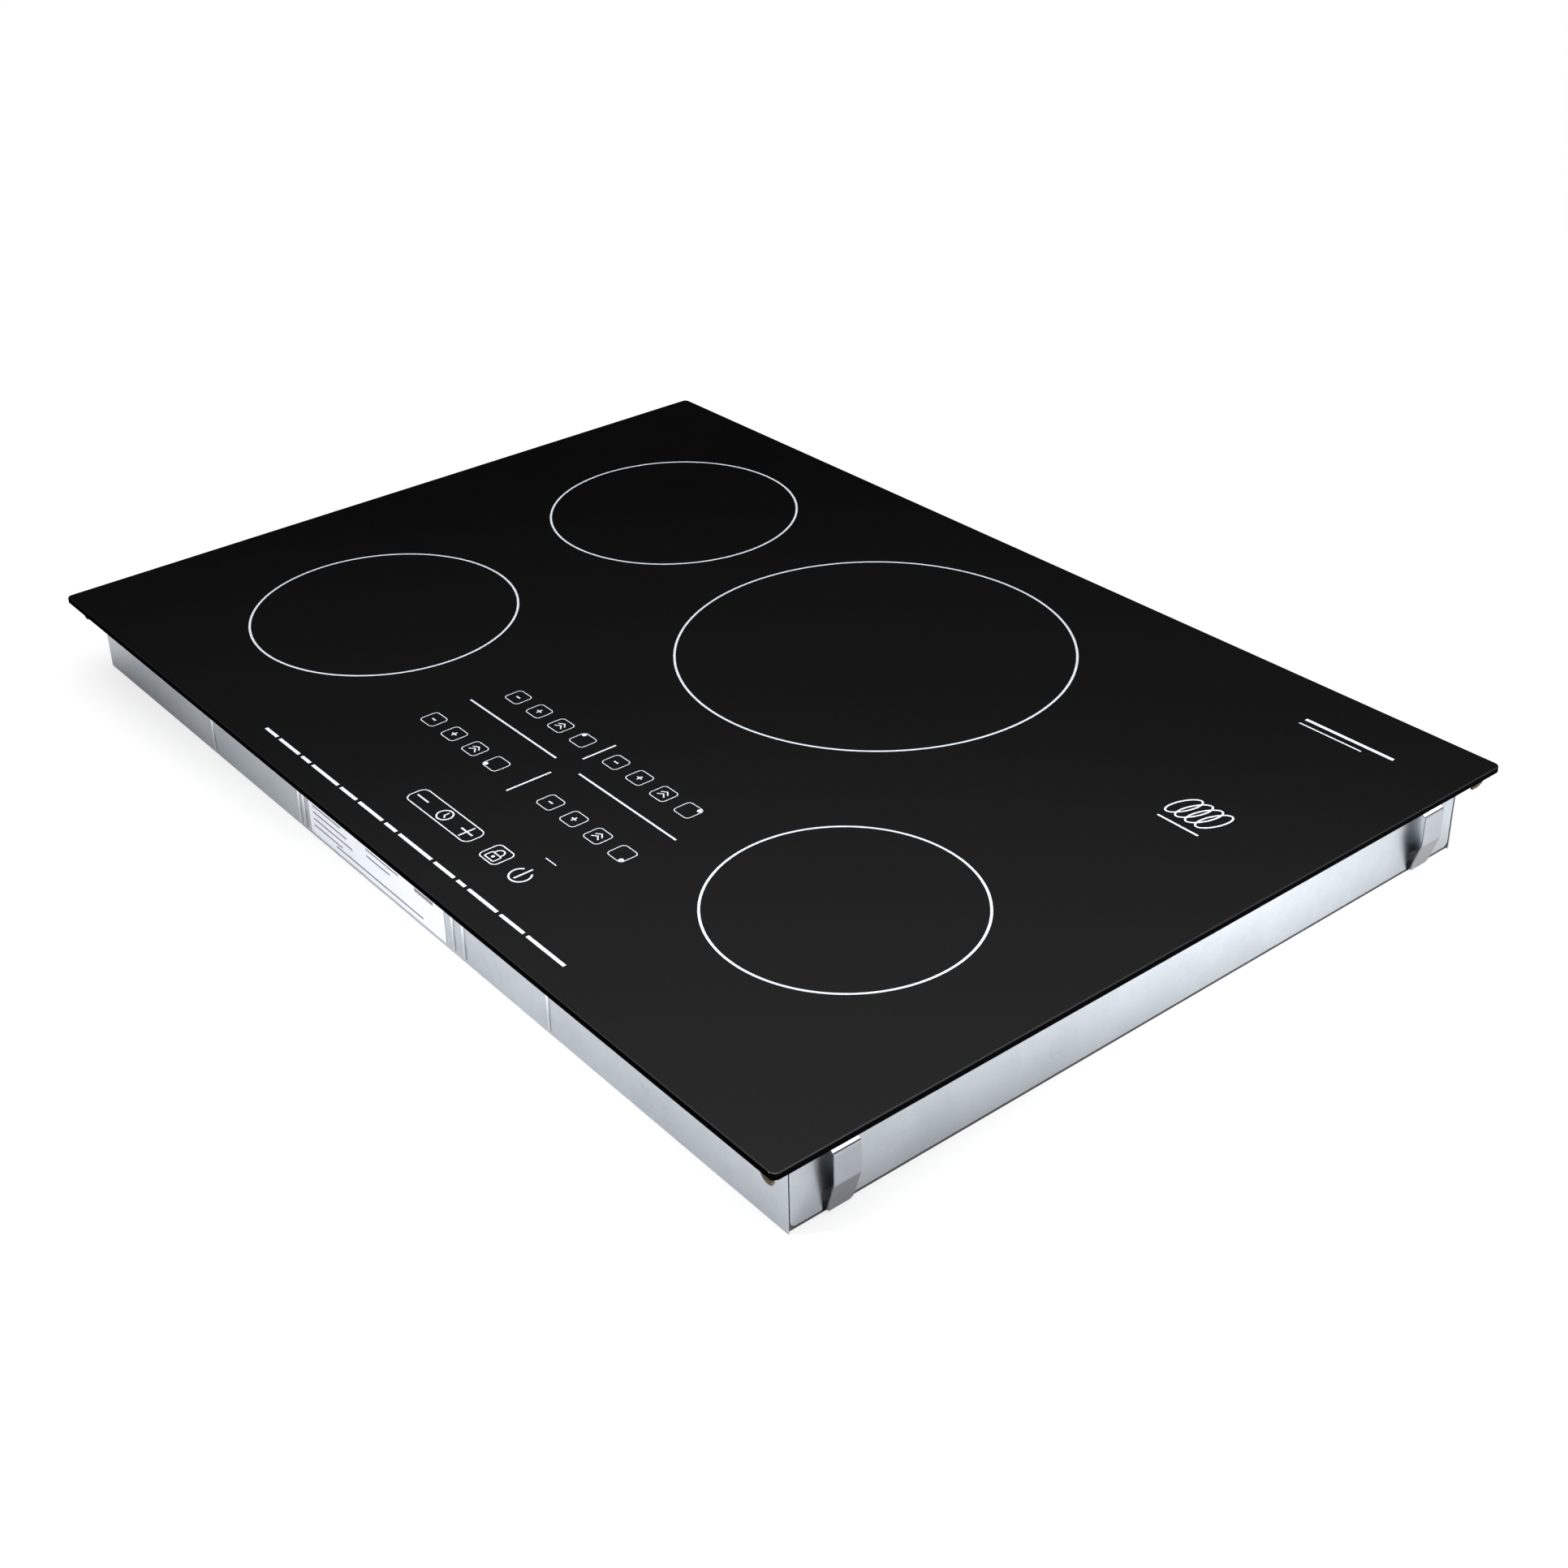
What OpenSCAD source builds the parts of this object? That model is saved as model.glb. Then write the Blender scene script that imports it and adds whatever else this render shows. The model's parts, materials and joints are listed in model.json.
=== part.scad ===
/* [Glass] */
// Width of the glass, left to right
glass_w = 762; // [750:1:920]
// Depth of the glass, front to rear
glass_d = 533.4; // [525:0.1:660]
// Thickness of the glass
glass_t = 4; // [3:0.5:6]
// Corner radius of the glass
glass_r = 4; // [3:0.5:12]

/* [Seal] */
// Thickness of the seal under the glass edge
seal_t = 2; // [1:0.25:3]
// Width of the seal strip
seal_w = 4; // [3:0.25:4.5]
// Distance from the glass edge to the seal
seal_inset = 2.5; // [1.5:0.25:2.5]

/* [Casing] */
// Height from the underside of the casing to the top of the glass
total_h = 55; // [53:1:75]
// Glass overhang past each side wall
side_inset = 14; // [13:0.5:25]
// Glass overhang past the front and rear walls
end_inset = 18.5; // [12:0.5:25]
// Thickness of the casing sheet
sheet_t = 1; // [0.8:0.1:1.2]
// Width of the top frame's flange under the glass
flange_w = 15; // [10:0.5:18]
// Depth of the top frame's skirt
skirt_h = 4.5; // [3:0.5:5]
// Height of the tray's side lips
lip_h = 12; // [8:0.5:14]
// Thickness of the dark strip behind each side panel
strip_t = 1; // [0.6:0.1:1.5]
// Height of a side panel's lower edge above the base
panel_lift = 2.7; // [1:0.1:3]
// Radius of a side panel's lower corners
panel_r = 3.5; // [2:0.5:10]
// Gap between a side panel's end and the front or rear wall
panel_gap = 0.8; // [0.4:0.1:1.5]

/* [Clips] */
// Width of a clip
clip_w = 16.5; // [12:0.5:24]
// Thickness of the clip leaf
clip_t = 0.8; // [0.5:0.1:1]
// How far a clip stands out from the side panel
clip_bulge = 7.5; // [5:0.1:9]
// Clip centre from the casing's front or rear face
clip_end = 30.5; // [20:0.5:60]
// Height of the bend where the leaf turns back in
clip_bend_z = 21.5; // [15:0.5:26]
// Height of the leaf's tip
clip_tip_z = 1.5; // [1.5:0.1:3]
// Gap between the leaf's tip and the side panel
clip_tip_gap = 0.6; // [0.6:0.1:2]
// Travel of a clip, in degrees
clip_travel = 6; // [2:0.5:7]
// Clearance around a clip where it passes a wall
clip_clear = 1; // [0.5:0.1:2]

/* [Zones] */
// Radius of the two left zones
left_zone_r = 88.9; // [70:0.1:95]
// Radius of the large zone
large_zone_r = 127; // [100:0.1:135]
// Radius of the front right zone
small_zone_r = 76.2; // [65:0.1:90]
// Left zone centres from the glass's left edge
left_zone_x = 167.2; // [150:0.1:180]
// Large zone centre to the right of the glass centre
large_zone_x = 41.5; // [20:0.1:60]
// Front right zone centre from the glass's right edge
small_zone_x = 137.2; // [110:0.1:150]
// Rear left zone centre from the glass's rear edge
rear_left_y = 138.8; // [130:0.1:145]
// Front left zone centre from the glass's front edge
front_left_y = 153; // [130:0.1:155]
// Large zone centre from the glass's rear edge
large_zone_y = 172.1; // [165:0.1:180]
// Front right zone centre from the glass's front edge
small_zone_y = 160.5; // [130:0.1:165]

/* [Coils] */
// Gap between the mica sheets and the glass
mica_gap = 0.3; // [0.3:0.1:1]
// Thickness of a mica sheet
mica_t = 0.5; // [0.3:0.1:1]
// Diameter of the winding's wire
wire_d = 4.5; // [3:0.5:5]
// Thickness of the ferrite bars
ferrite_t = 3; // [2:0.5:4]
// Width of the ferrite bars
ferrite_w = 10; // [6:1:12]
// Thickness of a coil carrier
carrier_t = 1.5; // [1:0.1:2]
// Height of the leaf springs under a carrier
spring_h = 6; // [5:0.5:8]
// Travel of a coil carrier
coil_travel = 3; // [1:0.5:3]
// Radius of a guide post
post_r = 2; // [1.5:0.1:3]
// Clearance between a guide post and its hole
post_clear = 0.3; // [0.2:0.05:0.5]
// Radius of the temperature sensor's stem
sensor_r = 8; // [5:0.5:8]

/* [Fans] */
// Gap between the rotor and the fan housing
rotor_gap = 4; // [2:0.5:6]
// Least wall between the fan's cavity and its housing's side
fan_edge = 6; // [2:0.5:8]
// Height of a fan housing
fan_h = 24; // [20:0.5:25]
// Radius of a fan rotor
rotor_r = 38; // [30:0.5:40]
// Number of rotor blades
blade_count = 24; // [12:1:32]
// Radius of the rotor's pin
pin_r = 1.5; // [1:0.1:3]
// Running clearance between the pin and the rotor
pin_clear = 0.06; // [0.02:0.01:0.1]
// Fan centre from the casing's side
fan_side = 85; // [80:1:100]

/* [Electronics] */
// Height of the board standoffs
standoff_h = 5; // [3:0.5:6]
// Thickness of a circuit board
board_t = 1.6; // [1:0.1:2]
// Width of a power board
power_w = 180; // [160:1:200]
// Depth of a power board
power_d = 230; // [200:1:240]
// Power board's edge from the casing's side
power_side = 35; // [25:1:45]
// Power board's edge from the casing's front
power_front = 78; // [50:1:90]
// Height of a heat sink
sink_h = 20; // [15:0.5:22]
// Number of heat sink fins
fin_count = 11; // [6:1:14]
// Control panel centre to the right of the glass centre
panel_x = 31; // [20:0.1:40]
// Distance between neighbouring touch keys
key_pitch = 23.15; // [20:0.05:25]
// Rear row of keys from the glass's front edge
rear_keys_y = 155.3; // [150:0.1:160]
// Front row of keys from the glass's front edge
front_keys_y = 101.3; // [95:0.1:110]
// Timer and power keys from the glass's front edge
timer_keys_y = 48.4; // [42:0.1:60]

/* [Mains] */
// Cable bush's centre to the right of the casing centre
bush_x = 150; // [130:1:170]
// Height of the cable bush's centre
bush_z = 18; // [17:0.5:20]
// Radius of the cable bush's bore
bush_bore_r = 9; // [6:0.1:10]
// Wall of the cable bush
bush_wall = 3.5; // [2:0.1:4]

/* [Label] */
// Width of the label on the front wall
label_w = 153; // [60:1:200]
// Height of the label
label_h = 42; // [20:1:44]
// Label centre to the right of the casing centre
label_x = -5; // [-60:1:60]
// Height of the label's lower edge
label_z = 3; // [1:0.5:3]

/* [Hidden] */
$fn = 48;
ZONES = ["rear_left", "front_left", "rear_right", "front_right"];
SIDES = ["left", "right"];

// How far a cutter runs past the face that it cuts
past = 1;

// Casing
cas_w = glass_w - 2 * side_inset;
cas_d = glass_d - 2 * end_inset;
glass_z = total_h - glass_t;
wall_top = glass_z - sheet_t;
sheet_fit = 0.2;
lip_x = cas_w / 2 - sheet_t - strip_t;
vent_w = 4;
vent_pitch = 9;
vent_h = 20;
vent_z = 12;
vents_left = 20;
vents_right = 4;
fan_slots = 3;
strip_lift = 0.2;
screw_count = 6;
screw_pitch = cas_w / (screw_count + 0.5);

// Clips
hook_drop = 2.5;
hook_z = wall_top - skirt_h - hook_drop;
hook_leg = 5;
hook_gap = 0.5;
hook_out = 0.6;
shoulder_drop = 3.2;
slot_clear = 0.5;
bend_r = 0.8;
tip_chamfer = 2.5;
tip_cut = 8;
leaf_slope = (clip_bulge - clip_t - clip_tip_gap) / (clip_bend_z - clip_tip_z);
notch_top = (clip_tip_z * leaf_slope - clip_tip_gap + clip_clear + hook_z * sin(clip_travel))
  / (leaf_slope + sin(clip_travel));
notch_w = clip_w + 2 * clip_clear;
clip_y = cas_d / 2 - clip_end;

// Coil stack, from the glass down
mica_z = glass_z - mica_gap - mica_t;
wind_z = mica_z - wire_d;
ferrite_z = wind_z - ferrite_t;
carrier_z = ferrite_z - carrier_t;
deck_top = carrier_z - spring_h;
deck_t = 1.2;
deck_z = deck_top - deck_t;
deck_side = 6.5;
deck_end = 6;
wire_pitch = 0.97 * wire_d;
carrier_rim = 6;
winding_rim = 12;
winding_in = 20;
mica_rim = 2;
post_rim = 8;
post_step = 120;
post_low = 0.5;
big_zone_r = 100;
big_zone_bars = 12;
zone_bars = 6;
big_bar_start = 4;
bar_end = 2;
sensor_flange_r = 14;
sensor_flange_t = 1.5;
sensor_hole_r = 12;
sensor_clear = 0.5;
spring_t = 0.5;
spring_w = 10;
spring_l = 36;
spring_at = 42;
spring_steps = 8;
post_top = wind_z - coil_travel - post_low;

// Fans
fan_wall = 1.5;
cavity_r = rotor_r + rotor_gap;
fan_s = 2 * (cavity_r + fan_edge);
blade_l = 10;
blade_t = 1;
blade_in = 1;
blade_angle = 35;
inlet_in = 8;
inlet_r = rotor_r - inlet_in;
outlet_w = 1.6 * rotor_r;
rotor_low = 3;
rotor_top = 5.5;
rotor_h = fan_h - rotor_low - rotor_top;
rotor_plate = 1.5;
rotor_ring = 1;
hub_r = 8;
hub_low = 2;
boss_h = 3;
fan_gap = 12;

// Electronics
board_z = sheet_t + standoff_h;
parts_z = board_z + board_t;
power_y = -cas_d / 2 + power_front + power_d / 2;
power_x = cas_w / 2 - power_side - power_w / 2;
fan_x = cas_w / 2 - fan_side;
fan_y = power_y + power_d / 2 + fan_gap + fan_s / 2;
sink_w = 70;
sink_d = 170;
sink_base = 4;
sink_rear = 12;
fin_t = 1.6;
standoff_r = 3;
standoff_in = 8;

// Parts on the boards
part_in = 24;
cap_r = 11;
cap_h = 22;
cap_pitch = 36;
bridge = [26, 20, 15];
film_cap = [32, 16, 18];
film_cap_y = 44;
choke_r = 16;
choke_hole_r = 8;
choke_h = 14;
choke_x = 26;
choke_y = 14;
plug_l = 10;
plug_w = 14;
plug_h = 9;
plug_margin = 2;
mains_plug_w = 30;
ribbon_plug_h = 6;
ribbon_plug_rim = 2;

// The feed plugs sit just inside the power boards' rear edges and the mains plug is level with the
// terminal block. The filter board reaches from the feed plugs to the mains plug
term_rear = 75;
term_y = cas_d / 2 - term_rear;
feed_y = power_y + power_d / 2 - plug_margin - plug_w / 2;
filter_front = feed_y - plug_w / 2 - plug_margin;
filter_back = term_y + mains_plug_w / 2 + plug_margin;
filter_w = 120;
filter_d = filter_back - filter_front;
filter_y = (filter_front + filter_back) / 2;

// Control panel
control_w = 240;
control_d = 146;
control_front = 103;
control_y = -glass_d / 2 + control_front;
bracket_wall = 2;
bracket_h = 10.3;
ribbon_w = 20;
ribbon_t = 1;
ribbon_out = 6;
ribbon_slot = 4;
ribbon_up = 4;
touch_r = 4;

// Mains
term_w = 60;
term_d = 22;
term_h = 18;
term_ways = 4;
term_pitch = 13;
term_hole_r = 3.1;
term_hole_h = 8;
term_screw_r = 3;
term_screw_h = 6;
cover_gap = 1.5;
cover_t = 1.5;
cover_slot_h = 14;
cover_slot_in = 10;
bush_flange_r = 16;
bush_ring_r = 14;
bush_flange_t = 2;
bush_fit = 0.1;
screw_r = 2;
screw_head_r = 3;
screw_head_t = 1.8;
screw_fit = 0.1;
screw_l = 5;
screw_z = wall_top - skirt_h / 2;
lead_r = 1.5;
mains_pitch = 7;
lead_pitch = 6;
earth_side = 52;
earth_rear = 36;
earth_h = 14;
earth_r = 2.5;
earth_nut_h = 4;
earth_nut_r = 4.6;
label_t = 0.2;

// Each zone's centre and radius
function zone(n) =
  n == "rear_left" ? [-glass_w / 2 + left_zone_x, glass_d / 2 - rear_left_y, left_zone_r] :
  n == "front_left" ? [-glass_w / 2 + left_zone_x, -glass_d / 2 + front_left_y, left_zone_r] :
  n == "rear_right" ? [large_zone_x, glass_d / 2 - large_zone_y, large_zone_r] :
  [glass_w / 2 - small_zone_x, -glass_d / 2 + small_zone_y, small_zone_r];
function is_big(n) = zone(n)[2] > big_zone_r;
function bar_count(n) = is_big(n) ? big_zone_bars : zone_bars;
function post_angles(n) = [for (k = [0:2]) 180 / bar_count(n) + post_step * k];
function side_sign(s) = s == "left" ? -1 : 1;

// Touch keys: two rows of two groups, each given by its first key's place beside the panel's centre
// and its row, and then the timer, lock and power keys, by their places beside the panel's centre
key_groups = [[-87.2, rear_keys_y], [16, rear_keys_y], [-98.3, front_keys_y], [27.5, front_keys_y]];
timer_keys = [-24, -1, 22.3, 52.8, 78];
function key_places() = concat(
  [for (g = key_groups) for (k = [0:3]) [panel_x + g[0] + k * key_pitch, -glass_d / 2 + g[1]]],
  [for (x = timer_keys) [panel_x + x, -glass_d / 2 + timer_keys_y]]);

// Outline of a bent strip of thickness t along a path
function seg_normal(a, b) = let (d = b - a) [-d[1], d[0]] / norm(d);
function mitre(p, i) =
  i == 0 ? seg_normal(p[0], p[1]) :
  i == len(p) - 1 ? seg_normal(p[i - 1], p[i]) :
  let (n = seg_normal(p[i - 1], p[i]), m = n + seg_normal(p[i], p[i + 1])) m / (m * n);
function strip_outline(p, t) = concat(
  [for (i = [0:len(p) - 1]) p[i] + mitre(p, i) * t / 2],
  [for (i = [len(p) - 1:-1:0]) p[i] - mitre(p, i) * t / 2]);

// A path with its corners rounded over a length l on each side
function rounded(p, l, n = 6) = concat([p[0]],
  [for (i = [1:len(p) - 2]) let (
    b = p[i],
    s = b + l * (p[i - 1] - b) / norm(p[i - 1] - b),
    e = b + l * (p[i + 1] - b) / norm(p[i + 1] - b))
    for (k = [0:n]) let (u = k / n) (1 - u) * (1 - u) * s + 2 * u * (1 - u) * b + u * u * e],
  [p[len(p) - 1]]);

module box(w, d, h, at = [0, 0, 0]) {
  translate([at[0] - w / 2, at[1] - d / 2, at[2]]) cube([w, d, h]);
}

module round_outline(w, d, r) {
  square([w - 2 * r, d], center = true);
  square([w, d - 2 * r], center = true);
  for (x = [-1, 1], y = [-1, 1]) translate([x * (w / 2 - r), y * (d / 2 - r)]) circle(r);
}

module at_zone(n) {
  translate([zone(n)[0], zone(n)[1], 0]) children();
}

module glass_panel() {
  color([0.06, 0.06, 0.07]) translate([0, 0, glass_z])
    linear_extrude(glass_t) round_outline(glass_w, glass_d, glass_r);
}

module glass_seal() {
  out = 2 * seal_inset;
  in = out + 2 * seal_w;
  color([0.03, 0.03, 0.03]) translate([0, 0, glass_z - seal_t]) linear_extrude(seal_t) difference() {
    round_outline(glass_w - out, glass_d - out, glass_r - seal_inset);
    square([glass_w - in, glass_d - in], center = true);
  }
}

module screw_places() {
  for (k = [0:screw_count - 1]) translate([(k - (screw_count - 1) / 2) * screw_pitch, cas_d / 2, screw_z])
    rotate([90, 0, 0]) children();
}

module top_frame() {
  skirt_w = cas_w - 2 * (sheet_t + sheet_fit);
  skirt_d = cas_d - 2 * (sheet_t + sheet_fit);
  color([0.62, 0.65, 0.68]) difference() {
    union() {
      difference() {
        box(cas_w, cas_d, sheet_t, [0, 0, wall_top]);
        box(cas_w - 2 * flange_w, cas_d - 2 * flange_w, sheet_t + 2 * past, [0, 0, wall_top - past]);
      }
      difference() {
        box(skirt_w, skirt_d, skirt_h, [0, 0, wall_top - skirt_h]);
        box(skirt_w - 2 * sheet_t, skirt_d - 2 * sheet_t, skirt_h + 2 * past,
          [0, 0, wall_top - skirt_h - past]);
      }
    }
    screw_places() cylinder(h = screw_l + past, r = screw_r + screw_fit);
  }
}

module fan_vents() {
  for (s = SIDES, k = [-fan_slots:fan_slots]) let (l = 2 * sqrt(inlet_r * inlet_r - pow(k * vent_pitch, 2)))
    box(vent_w, l, sheet_t + 2 * past, [side_sign(s) * fan_x + k * vent_pitch, fan_y, -past]);
}

module rear_vents() {
  for (k = [-vents_left:vents_right])
    box(vent_w, sheet_t + 2 * past, vent_h, [k * vent_pitch, (cas_d - sheet_t) / 2, vent_z]);
}

module side_notches() {
  for (x = [-1, 1], y = [-1, 1])
    box(2 * (sheet_t + strip_t + past), notch_w, lip_h + past, [x * lip_x, y * clip_y, sheet_t]);
}

module casing_tray() {
  color([0.70, 0.73, 0.76]) difference() {
    union() {
      box(2 * lip_x, cas_d, sheet_t);
      for (y = [-1, 1]) box(cas_w, sheet_t, wall_top, [0, y * (cas_d - sheet_t) / 2, 0]);
      for (x = [-1, 1])
        box(sheet_t, cas_d - 2 * sheet_t, lip_h, [x * (lip_x - sheet_t / 2), 0, 0]);
    }
    fan_vents();
    rear_vents();
    side_notches();
    screw_places() translate([0, 0, -past]) cylinder(h = screw_l + past, r = screw_r + screw_fit);
    translate([bush_x, cas_d / 2 + past, bush_z]) rotate([90, 0, 0])
      cylinder(h = sheet_t + 2 * past, r = bush_bore_r + bush_wall + bush_fit);
  }
}

module side_panel(s) {
  l = cas_d - 2 * (sheet_t + panel_gap);
  h = wall_top - panel_lift;
  low = panel_lift;
  x = side_sign(s) > 0 ? cas_w / 2 - sheet_t : -cas_w / 2;
  color([0.72, 0.75, 0.78]) difference() {
    translate([x, 0, low]) rotate([90, 0, 90]) linear_extrude(sheet_t) {
      translate([-l / 2, panel_r]) square([l, h - panel_r]);
      translate([panel_r - l / 2, 0]) square([l - 2 * panel_r, h]);
      for (y = [-1, 1]) translate([y * (l / 2 - panel_r), panel_r]) circle(panel_r);
    }
    for (y = [-1, 1]) {
      box(2 * (sheet_t + past), notch_w, notch_top + past, [x, y * clip_y, -past]);
      box(2 * (sheet_t + past), notch_w, clip_t + 2 * slot_clear,
        [x, y * clip_y, hook_z - clip_t / 2 - slot_clear]);
    }
  }
}

module edge_strip(s) {
  color([0.02, 0.02, 0.02]) difference() {
    box(strip_t, cas_d - 2 * sheet_t, lip_h - strip_lift,
      [side_sign(s) * (lip_x + strip_t / 2), 0, strip_lift]);
    side_notches();
  }
}

// Leaf clip: hooked through the side panel, out to the bulge and back in to its tip
module clip(s, end) {
  mid = clip_t / 2;
  leg_x = -sheet_t - hook_gap - mid;
  face = clip_bulge - mid;
  path = rounded([[leg_x, hook_z - hook_leg], [leg_x, hook_z], [hook_out, hook_z],
    [face, hook_z - shoulder_drop], [face, clip_bend_z], [clip_tip_gap + mid, clip_tip_z]], bend_r);
  color([0.78, 0.80, 0.82]) translate([side_sign(s) * cas_w / 2, end * clip_y, 0])
    mirror([side_sign(s) > 0 ? 0 : 1, 0, 0]) difference() {
      translate([0, clip_w / 2, 0]) rotate([90, 0, 0])
        linear_extrude(clip_w) polygon(strip_outline(path, clip_t));
      for (y = [-1, 1]) translate([clip_tip_gap, y * clip_w / 2, clip_tip_z])
        rotate([45, 0, 0]) cube([tip_cut, tip_chamfer, tip_chamfer], center = true);
    }
}

module casing_screws() {
  color([0.75, 0.75, 0.77]) screw_places() {
    translate([0, 0, -screw_head_t]) cylinder(h = screw_head_t, r = screw_head_r);
    cylinder(h = screw_l, r = screw_r);
  }
}

module rating_label() {
  color("white") box(label_w, label_t, label_h, [label_x, -(cas_d + label_t) / 2, label_z]);
}

module coil_carrier(n) {
  rim = zone(n)[2] - carrier_rim;
  color([0.80, 0.81, 0.83]) at_zone(n) difference() {
    translate([0, 0, carrier_z]) cylinder(h = carrier_t, r = rim);
    translate([0, 0, carrier_z - past]) cylinder(h = carrier_t + 2 * past, r = sensor_hole_r);
    for (a = post_angles(n)) rotate(a) translate([rim - post_rim, 0, carrier_z - past])
      cylinder(h = carrier_t + 2 * past, r = post_r + post_clear);
  }
}

module coil_winding(n) {
  turns = floor((zone(n)[2] - winding_rim - winding_in - wire_d) / wire_pitch);
  color([0.72, 0.42, 0.22]) at_zone(n) translate([0, 0, wind_z]) rotate_extrude()
    for (k = [0:turns]) translate([winding_in + wire_d / 2 + k * wire_pitch, wire_d / 2]) circle(wire_d / 2);
}

module ferrite_bars(n) {
  l = zone(n)[2] - winding_rim - winding_in - bar_end;
  start = winding_in + (is_big(n) ? big_bar_start : 0);
  color([0.18, 0.18, 0.19]) at_zone(n) for (k = [0:bar_count(n) - 1]) rotate(k * 360 / bar_count(n))
    translate([start, -ferrite_w / 2, ferrite_z]) cube([l, ferrite_w, ferrite_t]);
}

module mica_sheet(n) {
  color([0.80, 0.74, 0.60]) at_zone(n) translate([0, 0, mica_z]) difference() {
    cylinder(h = mica_t, r = zone(n)[2] - winding_rim + mica_rim);
    translate([0, 0, -past]) cylinder(h = mica_t + 2 * past, r = sensor_r + sensor_clear);
  }
}

module heat_sensor(n) {
  color([0.85, 0.85, 0.82]) at_zone(n) translate([0, 0, ferrite_z]) {
    cylinder(h = sensor_flange_t, r = sensor_flange_r);
    cylinder(h = glass_z - mica_gap - ferrite_z, r = sensor_r);
  }
}

module coil_springs(n) {
  rise = spring_h - spring_t;
  half = spring_l / 2;
  path = [for (k = [-spring_steps:spring_steps]) let (u = k / spring_steps)
    [u * half, spring_t / 2 + rise * (1 + cos(180 * u)) / 2]];
  color([0.70, 0.71, 0.73]) at_zone(n) for (a = post_angles(n)) rotate(a + post_step / 2)
    translate([spring_at + spring_w / 2, 0, deck_top]) rotate([90, 0, -90])
      linear_extrude(spring_w) polygon(strip_outline(path, spring_t));
}

module coil_deck() {
  w = cas_w - 2 * deck_side;
  d = cas_d - 2 * (sheet_t + deck_end);
  color([0.78, 0.79, 0.80]) difference() {
    union() {
      box(w, d, deck_t, [0, 0, deck_z]);
      for (x = [-1, 1]) box(deck_t, d, deck_z - sheet_t, [x * (w - deck_t) / 2, 0, sheet_t]);
    }
    for (n = ZONES) at_zone(n) translate([0, 0, deck_z - past])
      cylinder(h = deck_t + 2 * past, r = sensor_hole_r);
    box(ribbon_w + ribbon_slot, ribbon_t + ribbon_slot, deck_t + 2 * past,
      [panel_x, control_y + (control_d + ribbon_out) / 2, deck_z - past]);
  }
}

module guide_posts() {
  color([0.85, 0.85, 0.80]) for (n = ZONES) at_zone(n) for (a = post_angles(n)) rotate(a)
    translate([zone(n)[2] - carrier_rim - post_rim, 0, deck_top])
      cylinder(h = post_top - deck_top, r = post_r);
}

module fan_housing(s) {
  color([0.10, 0.10, 0.11]) translate([side_sign(s) * fan_x, fan_y, sheet_t]) {
    difference() {
      box(fan_s, fan_s, fan_h);
      translate([0, 0, fan_wall]) cylinder(h = fan_h - 2 * fan_wall, r = cavity_r);
      box(outlet_w, fan_s / 2 + 2 * past, fan_h - 2 * fan_wall, [0, -fan_s / 4 - past, fan_wall]);
      translate([0, 0, -past]) cylinder(h = fan_wall + 2 * past, r = inlet_r);
    }
    translate([0, 0, rotor_low + hub_low]) cylinder(h = fan_h - fan_wall - rotor_low - hub_low, r = pin_r);
    translate([0, 0, fan_h - fan_wall - boss_h]) cylinder(h = boss_h, r = hub_r);
  }
}

module fan_rotor(s) {
  color([0.20, 0.20, 0.22]) translate([side_sign(s) * fan_x, fan_y, sheet_t + rotor_low]) difference() {
    union() {
      translate([0, 0, rotor_h - rotor_plate]) cylinder(h = rotor_plate, r = rotor_r);
      translate([0, 0, hub_low]) cylinder(h = rotor_h - hub_low, r = hub_r);
      for (k = [0:blade_count - 1]) rotate(k * 360 / blade_count)
        translate([rotor_r - blade_l / 2 - blade_in, 0, 0])
          rotate(blade_angle) box(blade_l, blade_t, rotor_h);
      difference() {
        cylinder(h = rotor_ring, r = rotor_r);
        translate([0, 0, -past]) cylinder(h = rotor_ring + 2 * past, r = rotor_r - blade_l + blade_in);
      }
    }
    translate([0, 0, -past]) cylinder(h = rotor_h + 2 * past, r = pin_r + pin_clear);
  }
}

module power_board(s) {
  color([0.10, 0.35, 0.18]) box(power_w, power_d, board_t, [side_sign(s) * power_x, power_y, board_z]);
}

module heat_sink(s) {
  step = (sink_w - fin_t) / (fin_count - 1);
  color([0.76, 0.77, 0.79])
    translate([side_sign(s) * fan_x, power_y + (power_d - sink_d) / 2 - sink_rear, parts_z]) {
      box(sink_w, sink_d, sink_base);
      for (k = [0:fin_count - 1])
        box(fin_t, sink_d, sink_h, [k * step - (sink_w - fin_t) / 2, 0, 0]);
    }
}

// Capacitors, chokes, relays and plugs that stand on the three main boards
module board_parts() {
  color([0.15, 0.20, 0.40]) {
    for (s = SIDES) let (x = side_sign(s) * (power_x - power_w / 2 + part_in)) {
      for (k = [-1:1]) translate([x, power_y + cap_pitch * k, parts_z]) cylinder(h = cap_h, r = cap_r);
      box(bridge[0], bridge[1], bridge[2], [x, power_y - power_d / 2 + part_in, parts_z]);
      box(plug_l, plug_w, plug_h, [side_sign(s) * (power_x - (power_w - plug_l) / 2), feed_y, parts_z]);
      box(plug_l, plug_w, plug_h, [side_sign(s) * (filter_w - plug_l) / 2, feed_y, parts_z]);
    }
    box(plug_l, mains_plug_w, plug_h, [(filter_w - plug_l) / 2, term_y, parts_z]);
    box(ribbon_w + 2 * ribbon_plug_rim, plug_l, ribbon_plug_h,
      [panel_x, filter_y - (filter_d - plug_l) / 2, parts_z]);
    for (x = [-1, 1]) translate([x * choke_x, filter_y + choke_y, parts_z]) rotate_extrude()
      translate([choke_hole_r, 0]) square([choke_r - choke_hole_r, choke_h]);
    box(film_cap[0], film_cap[1], film_cap[2], [0, filter_y + film_cap_y, parts_z]);
  }
}

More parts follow.
